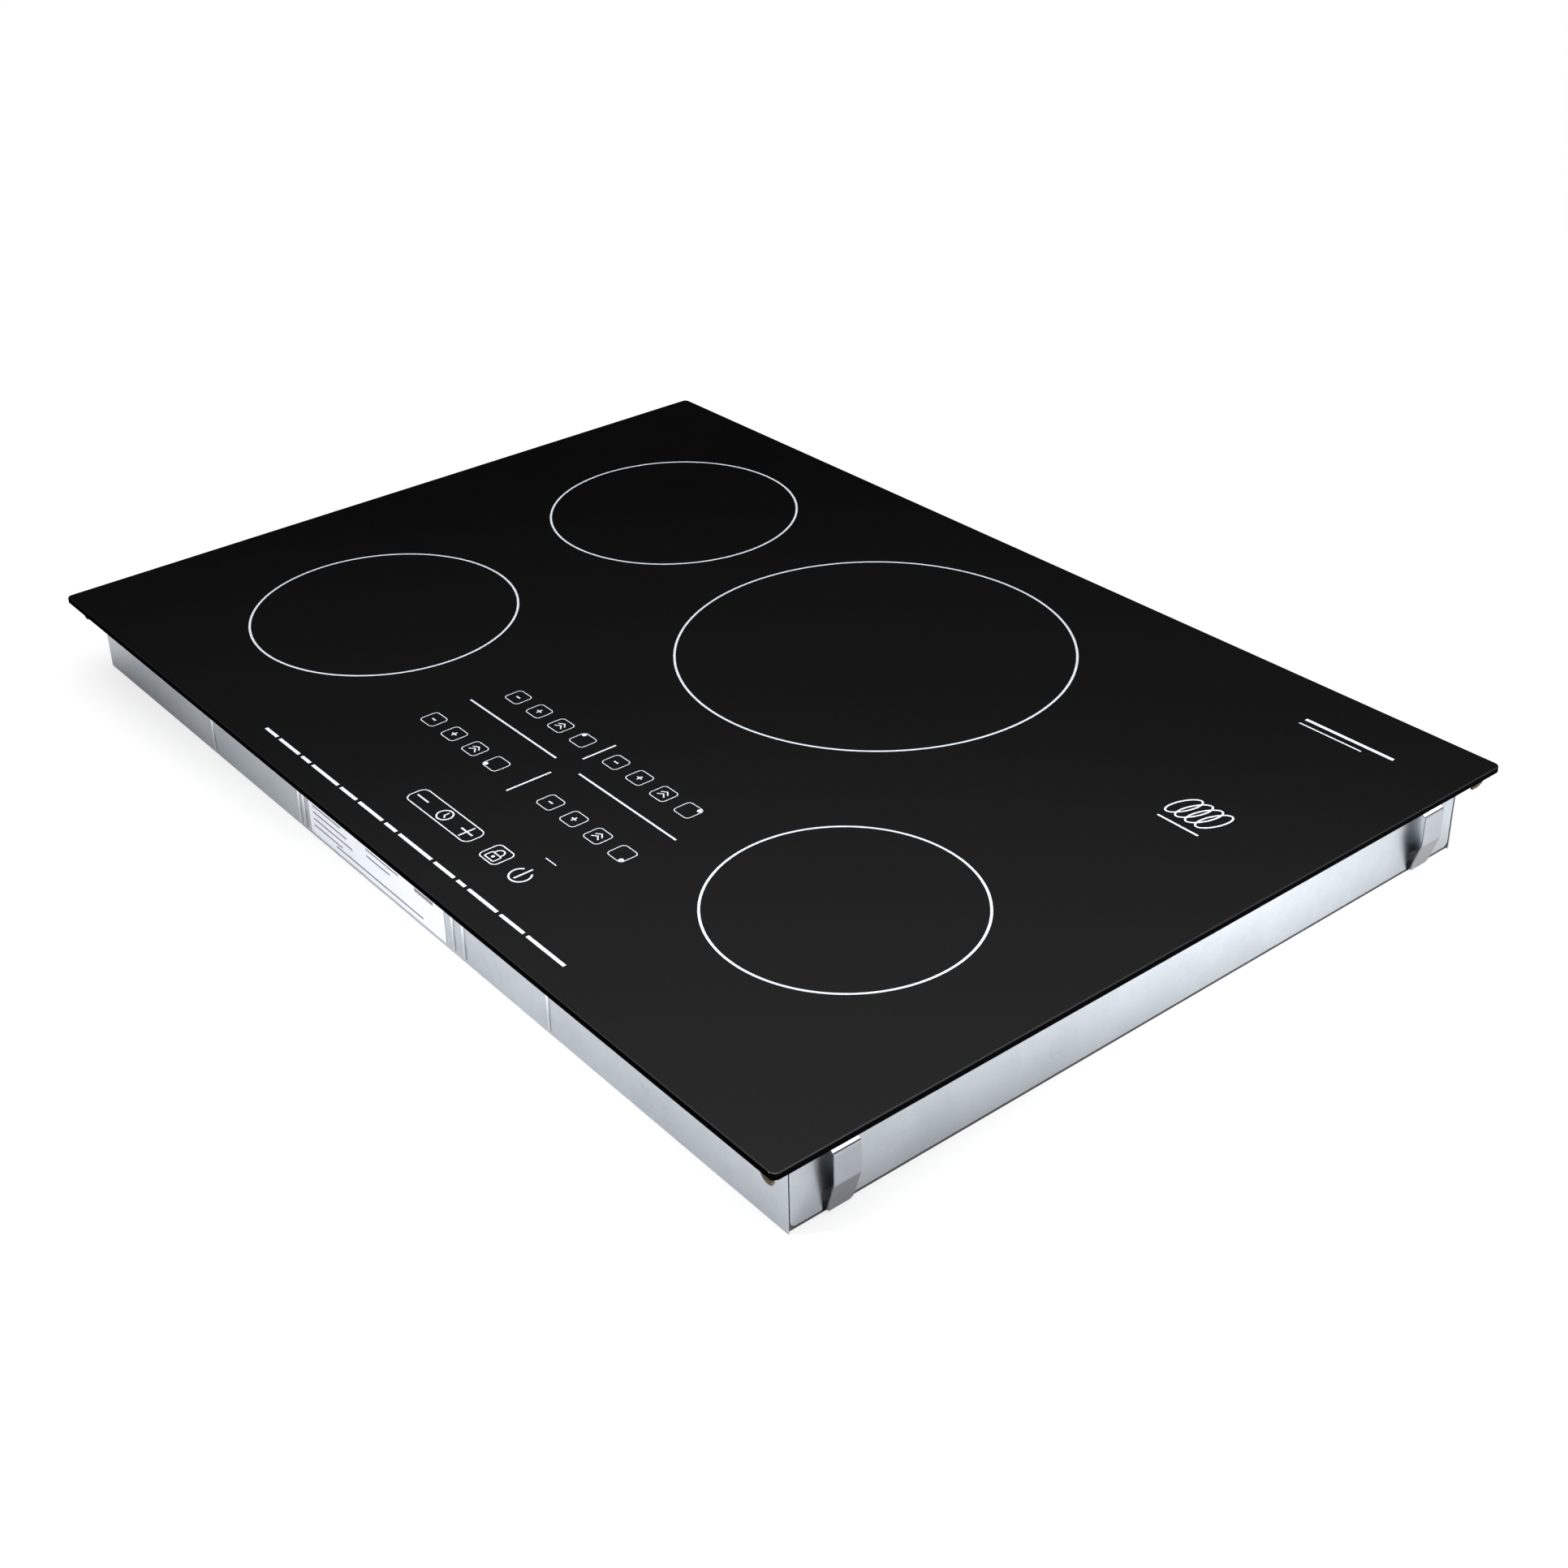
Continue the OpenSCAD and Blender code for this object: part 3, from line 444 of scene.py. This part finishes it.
def finish_piece(name, mesh, material, body=CASING, smooth=True):
    obj = bpy.data.objects.new(name, mesh)
    bpy.context.scene.collection.objects.link(obj)
    obj.data.materials.append(material)
    if smooth:
        obj.data.shade_smooth()
    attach(obj, body)
    return obj


def to_mesh(name, bm):
    bmesh.ops.recalc_face_normals(bm, faces=bm.faces)
    mesh = bpy.data.meshes.new(name)
    bm.to_mesh(mesh)
    bm.free()
    return mesh


def weight_normals(piece):
    """Shading that stays flat on a piece's large faces."""
    weighted = piece.modifiers.new("normals", "WEIGHTED_NORMAL")
    weighted.keep_sharp = True


def slot_of(node):
    return next(s["material_slot"] for s in frame["record"]["subparts"] if s["node"] == node)


def softened(node, width, rounded_edges=None, rounded_by=0.0):
    """The CAD node's own shape with its edges eased, as sheet and mouldings have, in place of the node."""
    source = nodes[node]
    bm = bmesh.new()
    bm.from_mesh(source.data)
    bmesh.ops.remove_doubles(bm, verts=bm.verts, dist=WELD)
    bmesh.ops.dissolve_limit(bm, angle_limit=FLAT_ANGLE, verts=bm.verts, edges=bm.edges)
    if rounded_edges:
        chosen = [e for e in bm.edges if rounded_edges(e)]
        bmesh.ops.bevel(bm, geom=chosen, offset=rounded_by, segments=5, profile=0.5, affect="EDGES",
                        clamp_overlap=True)
    sharp = [e for e in bm.edges if len(e.link_faces) == 2 and e.calc_face_angle() > SHARP_ANGLE]
    bmesh.ops.bevel(bm, geom=sharp, offset=width, segments=2, profile=0.5, affect="EDGES",
                    clamp_overlap=True)
    mesh = to_mesh(node + "_finished", bm)
    slot = slot_of(node)
    piece = finish_piece(node + "_finished", mesh, MATERIALS[slot], source["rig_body"])
    weight_normals(piece)
    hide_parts(node)
    return piece


def finish_clip(piece, side):
    """The clip's shoulder gets a pale, matt painted highlight, and the outer face of its lower leg a
    darker copy of its steel as painted shade.
    """
    slightly_up = 0.02
    mostly_outward = 0.5
    painted_highlight_slot = 1
    painted_shade_slot = 2
    piece.data.materials.append(MATERIALS["spring_steel_painted_highlight"])
    piece.data.materials.append(MATERIALS["spring_steel_painted_shade"])
    for face in piece.data.polygons:
        # High faces that face up get the painted highlight, and low faces that face outward get the
        # painted shade
        if face.center.z > CLIP_SHOULDER and face.normal.z > slightly_up:
            face.material_index = painted_highlight_slot
        elif face.center.z < CLIP_BEND and side * face.normal.x > mostly_outward:
            face.material_index = painted_shade_slot


def rounded_loop(x, y, w, d, r, steps=8):
    """Points round a rounded rectangle centred on x, y."""
    points = []
    for k, (sx, sy) in enumerate([(1, 1), (-1, 1), (-1, -1), (1, -1)]):
        for j in range(steps + 1):
            a = math.radians(90 * k + 90 * j / steps)
            points.append((x + sx * (w / 2 - r) + r * math.cos(a), y + sy * (d / 2 - r) + r * math.sin(a)))
    return points


def arc(x, y, r, start, stop, steps):
    """Points on an arc, from start to stop in degrees."""
    angles = [math.radians(start + (stop - start) * k / steps) for k in range(steps + 1)]
    return [(x + r * math.cos(a), y + r * math.sin(a)) for a in angles]


def circle(x, y, r, steps):
    return arc(x, y, r, 0, 360, steps)[:-1]


def offset_points(points, distance, closed):
    """Points moved sideways by distance, with mitred corners."""
    count = len(points)
    moved = []
    for k, point in enumerate(points):
        here = Vector(point)
        before = Vector(points[k - 1]) if closed or k else None
        after = Vector(points[(k + 1) % count]) if closed or k < count - 1 else None
        sides = []
        for a, b in ((before, here), (here, after)):
            if a is not None and b is not None:
                step = (b - a).normalized()
                sides.append(Vector((-step.y, step.x)))
        normal = sum(sides, Vector((0, 0))).normalized()
        moved.append(here + normal * distance / max(0.5, normal.dot(sides[0])))
    return moved


def add_prism(bm, outline, low, high, place):
    """A closed prism over an outline; place turns flat x, y and a height into a point."""
    lower = [bm.verts.new(place(p[0], p[1], low)) for p in outline]
    upper = [bm.verts.new(place(p[0], p[1], high)) for p in outline]
    bm.faces.new(upper)
    bm.faces.new(lower[::-1])
    for k in range(len(outline)):
        j = (k + 1) % len(outline)
        bm.faces.new((lower[k], lower[j], upper[j], upper[k]))


def add_stroke(bm, points, width, place, high, closed=False):
    """A printed line along points, as a closed solid."""
    left = offset_points(points, width / 2, closed)
    right = offset_points(points, -width / 2, closed)
    if not closed:
        add_prism(bm, left + right[::-1], 0, high, place)
        return
    rings = [[bm.verts.new(place(p[0], p[1], z)) for p in side]
             for side in (left, right) for z in (0, high)]
    low_left, high_left, low_right, high_right = rings
    for k in range(len(points)):
        j = (k + 1) % len(points)
        for a, b in ((low_left, high_left), (high_left, high_right), (high_right, low_right),
                     (low_right, low_left)):
            bm.faces.new((a[k], a[j], b[j], b[k]))


def on_glass(x, y, z):
    return Vector((x, y, GLASS_TOP + z))


def on_front_wall(x, z, out):
    return Vector((x, label_low.y - out, z))


def printed(name, draw, material="print_white", place=on_glass):
    """A printed piece: draw gets a function for lines and one for filled shapes."""
    bm = bmesh.new()

    def line(points, width, closed=False, layer=0):
        add_stroke(bm, points, width, place, PRINT_T * (1 + 0.2 * layer), closed)

    draw(line, lambda outline: add_prism(bm, outline, 0, PRINT_T, place))
    return finish_piece(name, to_mesh(name, bm), MATERIALS[material], smooth=False)


# ---------------------------------------------------------------- pieces

def make_glass():
    """The glass with eased edges. Its side is ground, and its top and bottom are polished."""
    # Height above the underside and distance in from the side, for a glass this thick, in millimetres
    profile = [(0, 0.35), (0.35, 0), (3.3, 0), (3.62, 0.09), (3.88, 0.34), (4, 0.8)]
    profile_t = 4
    polished_from = 3
    half_w = glass_high.x
    half_d = glass_high.y
    t = GLASS_TOP - glass_low.z
    bm = bmesh.new()
    loops = []
    for up, inset in profile:
        points = rounded_loop(0, 0, 2 * (half_w - inset * MM), 2 * (half_d - inset * MM),
                              GLASS_CORNER - inset * MM, 12)
        loops.append([bm.verts.new((x, y, glass_low.z + up / profile_t * t)) for x, y in points])
    for level, (lower, upper) in enumerate(zip(loops, loops[1:])):
        for k in range(len(lower)):
            j = (k + 1) % len(lower)
            face = bm.faces.new((lower[k], lower[j], upper[j], upper[k]))
            face.material_index = int(level < polished_from)
    bm.faces.new(loops[-1])
    bm.faces.new(loops[0][::-1])
    piece = finish_piece("glass_top", to_mesh("glass_top", bm), MATERIALS["ceramic_glass"])
    piece.data.materials.append(MATERIALS["glass_edge"])
    weight_normals(piece)
    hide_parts("glass_panel")


def make_zone_rings():
    """Each ring is centred on its zone's winding."""
    past_carrier = 6 * MM
    for zone in ZONES:
        low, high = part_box("coil_carrier_" + zone)
        x, y = (low.x + high.x) / 2, (low.y + high.y) / 2
        radius = (high.x - low.x) / 2 + past_carrier
        ring = circle(x, y, radius, 180)
        printed("zone_ring_" + zone, lambda line, fill: line(ring, RING_LINE, True))


def bar(x, y, w, d):
    """The corners of a rectangle centred on x, y."""
    return [(x - w / 2, y - d / 2), (x + w / 2, y - d / 2), (x + w / 2, y + d / 2), (x - w / 2, y + d / 2)]


def draw_minus(line, x, y, size, width):
    line([(x - size, y), (x + size, y)], width)


def draw_plus(fill, x, y, size, width):
    fill([(x - size, y - width / 2), (x - width / 2, y - width / 2), (x - width / 2, y - size),
          (x + width / 2, y - size), (x + width / 2, y - width / 2), (x + size, y - width / 2),
          (x + size, y + width / 2), (x + width / 2, y + width / 2), (x + width / 2, y + size),
          (x - width / 2, y + size), (x - width / 2, y + width / 2), (x - size, y + width / 2)])


def draw_boost(line, x, y, size, width):
    """Two chevrons."""
    for low in (-0.75, 0.15):
        line([(x - size, y + low * size), (x, y + (low + 0.75) * size), (x + size, y + low * size)], width)


def make_zone_keys():
    """Four groups of keys: less, more, boost, and a zone marker with a dot in that zone's corner."""
    front = glass_low.y
    dot_inset = 1.9 * MM
    dot_radius = 1.6 * MM
    # Where the first key starts, how far up the group is, and the side and end that the dot is at
    groups = {"rear_left": (-87.2, 155.3, -1, 1), "rear_right": (16.0, 155.3, 1, 1),
              "front_left": (-98.3, 101.3, -1, -1), "front_right": (27.5, 101.3, 1, -1)}
    for zone, (start, up, side, end) in groups.items():
        y = front + up * MM
        xs = [PANEL_X + start * MM + k * KEY_PITCH for k in range(4)]

        def draw(line, fill, xs=xs, y=y, side=side, end=end):
            for x in xs:
                line(rounded_loop(x, y, KEY_W, KEY_D, KEY_R), KEY_LINE, True)
            draw_minus(line, xs[0], y, 1.9 * MM, 1.0 * MM)
            draw_plus(fill, xs[1], y, 2.1 * MM, 0.9 * MM)
            draw_boost(line, xs[2], y, 3.2 * MM, 0.8 * MM)
            dot_x = xs[3] + side * (KEY_W / 2 - dot_inset)
            dot_y = y + end * (KEY_D / 2 - dot_inset)
            fill(circle(dot_x, dot_y, dot_radius, 24))

        printed("zone_keys_" + zone, draw)


def make_dividers():
    """The lines between the groups of keys."""
    y = glass_low.y + 131.5 * MM

    def draw(line, fill):
        for x in (-57.8, 58.8):
            fill(bar(PANEL_X + x * MM, y, 93 * MM, DIVIDER_LINE))
        fill(bar(PANEL_X, y + 23.2 * MM, DIVIDER_LINE, 24 * MM))
        fill(bar(PANEL_X, y - 26.8 * MM, DIVIDER_LINE, 31 * MM))

    printed("key_dividers", draw)


def make_timer_keys():
    """Timer bar, lock key and power key."""
    y = glass_low.y + 48.4 * MM
    timer_x = PANEL_X - 0.7 * MM

    def draw_timer(line, fill):
        line(rounded_loop(timer_x, y, 64.5 * MM, 14.3 * MM, 4.6 * MM), TIMER_LINE, True)
        draw_minus(line, timer_x - 23.5 * MM, y, 5.8 * MM, 1.1 * MM)
        draw_plus(fill, timer_x + 23.0 * MM, y, 5.6 * MM, 1.1 * MM)
        line(circle(timer_x, y, 4.9 * MM, 48), 1.0 * MM, True)
        line([(timer_x, y + 3.0 * MM), (timer_x, y - 0.3 * MM), (timer_x + 2.2 * MM, y - 1.8 * MM)],
             0.9 * MM)

    def draw_lock(line, fill):
        x = PANEL_X + 52.8 * MM
        line(rounded_loop(x, y, 15.6 * MM, 15.0 * MM, 3.2 * MM), TIMER_LINE, True)
        line(rounded_loop(x, y - 2.6 * MM, 8.6 * MM, 5.6 * MM, 0.9 * MM), 0.8 * MM, True)
        line([(x - 2.9 * MM, y + 0.6 * MM)] + arc(x, y + 1.9 * MM, 2.9 * MM, 180, 0, 16)
             + [(x + 2.9 * MM, y + 0.6 * MM)], 0.9 * MM)
        fill(circle(x, y - 2.5 * MM, 1.1 * MM, 20))

    def draw_power(line, fill):
        x = PANEL_X + 78.0 * MM
        line(arc(x, y - 1.4 * MM, 6.4 * MM, 125, 415, 48), 1.1 * MM)
        fill(bar(x, y + 0.6 * MM, 1.2 * MM, 12.4 * MM))
        fill(bar(x, y + 18.6 * MM, 10.0 * MM, 0.7 * MM))

    printed("timer_keys", draw_timer)
    printed("lock_key", draw_lock)
    printed("power_key", draw_power)


def make_plain_marks():
    """Plain bars where a cooktop has its wording, and a looped line for induction."""
    def draw_dashes(line, fill):
        start = -126.0
        for length in (14, 24, 10, 30, 18, 26, 12, 34, 20, 8, 28, 22, 34):
            fill(bar((start + length / 2) * MM, glass_low.y + 18.5 * MM, length * MM, 2.2 * MM))
            start += length + 3.2

    def draw_coil(line, fill):
        """Four leaning loops that overlap, each a hair higher than the last."""
        lean = math.radians(-18)
        for loop in range(4):
            middle = (293.4 + 7.2 * loop) * MM
            points = []
            for k in range(64):
                a = 2 * math.pi * k / 64
                u, v = 4.9 * MM * math.cos(a), 11.6 * MM * math.sin(a)
                points.append((middle + u * math.cos(lean) - v * math.sin(lean),
                               99.7 * MM + u * math.sin(lean) + v * math.cos(lean)))
            line(points, 1.1 * MM, True, loop)
        fill(bar(304.2 * MM, 82.2 * MM, 29 * MM, 1.3 * MM))

    def draw_maker(line, fill):
        fill(bar(307 * MM, 226 * MM, 62 * MM, 2.4 * MM))
        fill(bar(298 * MM, 220 * MM, 44 * MM, 1.1 * MM))

    printed("front_dashes", draw_dashes)
    printed("induction_symbol", draw_coil)
    printed("plain_mark", draw_maker)


def make_label_print():
    """Rows of plain bars on the label."""
    left = label_low.x

    def draw(line, fill):
        for column, (start, width, rows) in enumerate([(5, 48, 5), (68, 38, 3), (122, 24, 2)]):
            for row in range(rows):
                length = width * (0.96 - 0.13 * ((row * 2 + column) % 3))
                fill(bar(left + (start + length / 2) * MM, label_high.z - (17 + 4.6 * row) * MM,
                         length * MM, (1.2 if column < 2 else 2.4) * MM))
        fill(bar(left + 80 * MM, label_low.z + 4 * MM, 98 * MM, 1.3 * MM))

    printed("label_bars", draw, "label_ink", on_front_wall)


def make_press_lines():
    """Shallow ribs pressed into the front wall, in a lighter copy of the wall's steel as a painted
    highlight along each rib.
    """
    bm = bmesh.new()
    proud = 0.8 * MM
    half = 1.1 * MM
    end_gap = 3 * MM
    turns = [math.radians(t) for t in range(-90, 91, 15)]
    section = [(half * math.sin(t), proud * math.cos(t)) for t in turns]
    for x in (-208.2, -94.0, -88.0, 80.0, 91.0, 173.0):
        rows = [[bm.verts.new((x * MM + sx, FRONT_WALL - out, z)) for sx, out in section]
                for z in (end_gap, tray_high.z - end_gap)]
        for a in range(len(section)):
            b = (a + 1) % len(section)
            bm.faces.new((rows[0][a], rows[0][b], rows[1][b], rows[1][a]))
        bm.faces.new(rows[1])
        bm.faces.new(rows[0][::-1])
    finish_piece("press_lines", to_mesh("press_lines", bm), MATERIALS["rib_steel_painted_highlight"])


def make_seal_tail(name, start, end, sag, radius):
    """A loose end of the seal, hanging below the glass from start to end."""
    curve = bpy.data.curves.new(name, "CURVE")
    curve.dimensions = "3D"
    curve.bevel_depth = radius
    curve.bevel_resolution = 3
    curve.use_fill_caps = True
    spline = curve.splines.new("NURBS")
    steps = 9
    spline.points.add(steps - 1)
    for k, point in enumerate(spline.points):
        t = k / (steps - 1)
        place = Vector(start).lerp(Vector(end), t) - Vector((0, 0, sag * math.sin(math.pi * t)))
        point.co = (*place, 1)
        point.radius = 0.55 + 0.45 * math.sin(math.pi * (0.15 + 0.7 * t))
    spline.use_endpoint_u = True
    spline.order_u = 4
    holder = bpy.data.objects.new(name + "_curve", curve)
    bpy.context.scene.collection.objects.link(holder)
    bpy.context.view_layer.update()
    mesh = bpy.data.meshes.new_from_object(holder.evaluated_get(bpy.context.evaluated_depsgraph_get()))
    bpy.data.objects.remove(holder)
    finish_piece(name, mesh, MATERIALS["sealant"])


def make_seal_tails():
    """Two loose ends at the front and one at the rear right."""
    edge = glass_low.y + 3.4 * MM
    make_seal_tail("seal_tail_front_right", (glass_high.x - 12 * MM, edge, seal_low.z - 0.6 * MM),
                   (glass_high.x - 5 * MM, edge, seal_low.z - 3.4 * MM), 0.8 * MM, 1.8 * MM)
    make_seal_tail("seal_tail_front_left", (glass_low.x + 22 * MM, edge, seal_low.z - 0.8 * MM),
                   (glass_low.x + 27 * MM, edge, seal_low.z - 1.6 * MM), 0.6 * MM, 1.3 * MM)
    side = glass_high.x - 3.6 * MM
    make_seal_tail("seal_tail_rear_right", (side, glass_high.y - 12 * MM, seal_low.z - 0.6 * MM),
                   (side, glass_high.y - 21 * MM, seal_low.z - 2.6 * MM), 0.6 * MM, 1.3 * MM)


def make_clip_pockets():
    """A dark cup behind each clip's notch, which closes the casing where the leaf moves in. Its dark
    colour is painted shade in the notch beside the clip.
    """
    depth = 5.6 * MM
    wall = 0.7 * MM
    middle_z = 8.5 * MM
    height = 15 * MM
    wider_than_clip = 6 * MM
    corner = 2 * MM
    for side, sign in (("left", LEFT), ("right", RIGHT)):
        for end in ("front", "rear"):
            low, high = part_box("clip_%s_%s" % (end, side))
            y = (low.y + high.y) / 2
            outline = rounded_loop(y, middle_z, high.y - low.y + wider_than_clip, height, corner, 5)
            outer = sign * (panel_high.x - depth)
            bm = bmesh.new()
            add_prism(bm, outline, 0, wall, lambda u, v, h: Vector((outer - sign * h, u, v)))
            finish_piece("clip_pocket_%s_%s" % (end, side), to_mesh("clip_pocket", bm),
                         MATERIALS["dark_plastic"], smooth=False)


def make_coil_springs():
    """The leaf springs under each coil, as a finished piece with a mesh of its own in place of the CAD
    node.
    """
    for zone in ZONES:
        node = "coil_springs_" + zone
        bm = bmesh.new()
        bm.from_mesh(nodes[node].data)
        bmesh.ops.remove_doubles(bm, verts=bm.verts, dist=WELD)
        slot = slot_of(node)
        piece = finish_piece(node + "_finished", to_mesh(node + "_finished", bm), MATERIALS[slot],
                             smooth=False)
        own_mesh(piece)
        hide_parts(node)


def paint_cad_nodes():
    """Each CAD node that still shows gets the material of its slot."""
    for part in frame["record"]["subparts"]:
        source = nodes[part["node"]]
        source.data.materials.clear()
        source.data.materials.append(MATERIALS[part["material_slot"]])


def soften_casing():
    """The sheet metal and mouldings get eased edges, and the casing its folds under the front and rear."""
    near = 0.01 * MM

    def fold(edge):
        return all(v.co.z < near and abs(v.co.y) > tray_high.y - near for v in edge.verts)

    softened("casing_tray", SHEET_EASE, rounded_edges=fold, rounded_by=FOLD_RADIUS)
    for side, sign in (("left", LEFT), ("right", RIGHT)):
        softened("side_panel_" + side, PANEL_EASE)
        for end in ("front", "rear"):
            finish_clip(softened("clip_%s_%s" % (end, side), SHEET_EASE), sign)
    for node in ("top_frame", "casing_screws", "cable_bush", "terminal_block", "terminal_cover"):
        softened(node, SHEET_EASE)


MATERIALS = make_materials()
make_camera()
make_world()
make_lights()
make_floor()
paint_cad_nodes()
make_glass()
make_zone_rings()
make_zone_keys()
make_dividers()
make_timer_keys()
make_plain_marks()
make_label_print()
make_press_lines()
make_seal_tails()
make_clip_pockets()
make_coil_springs()
soften_casing()
bpy.context.scene.view_settings.view_transform = "Standard"
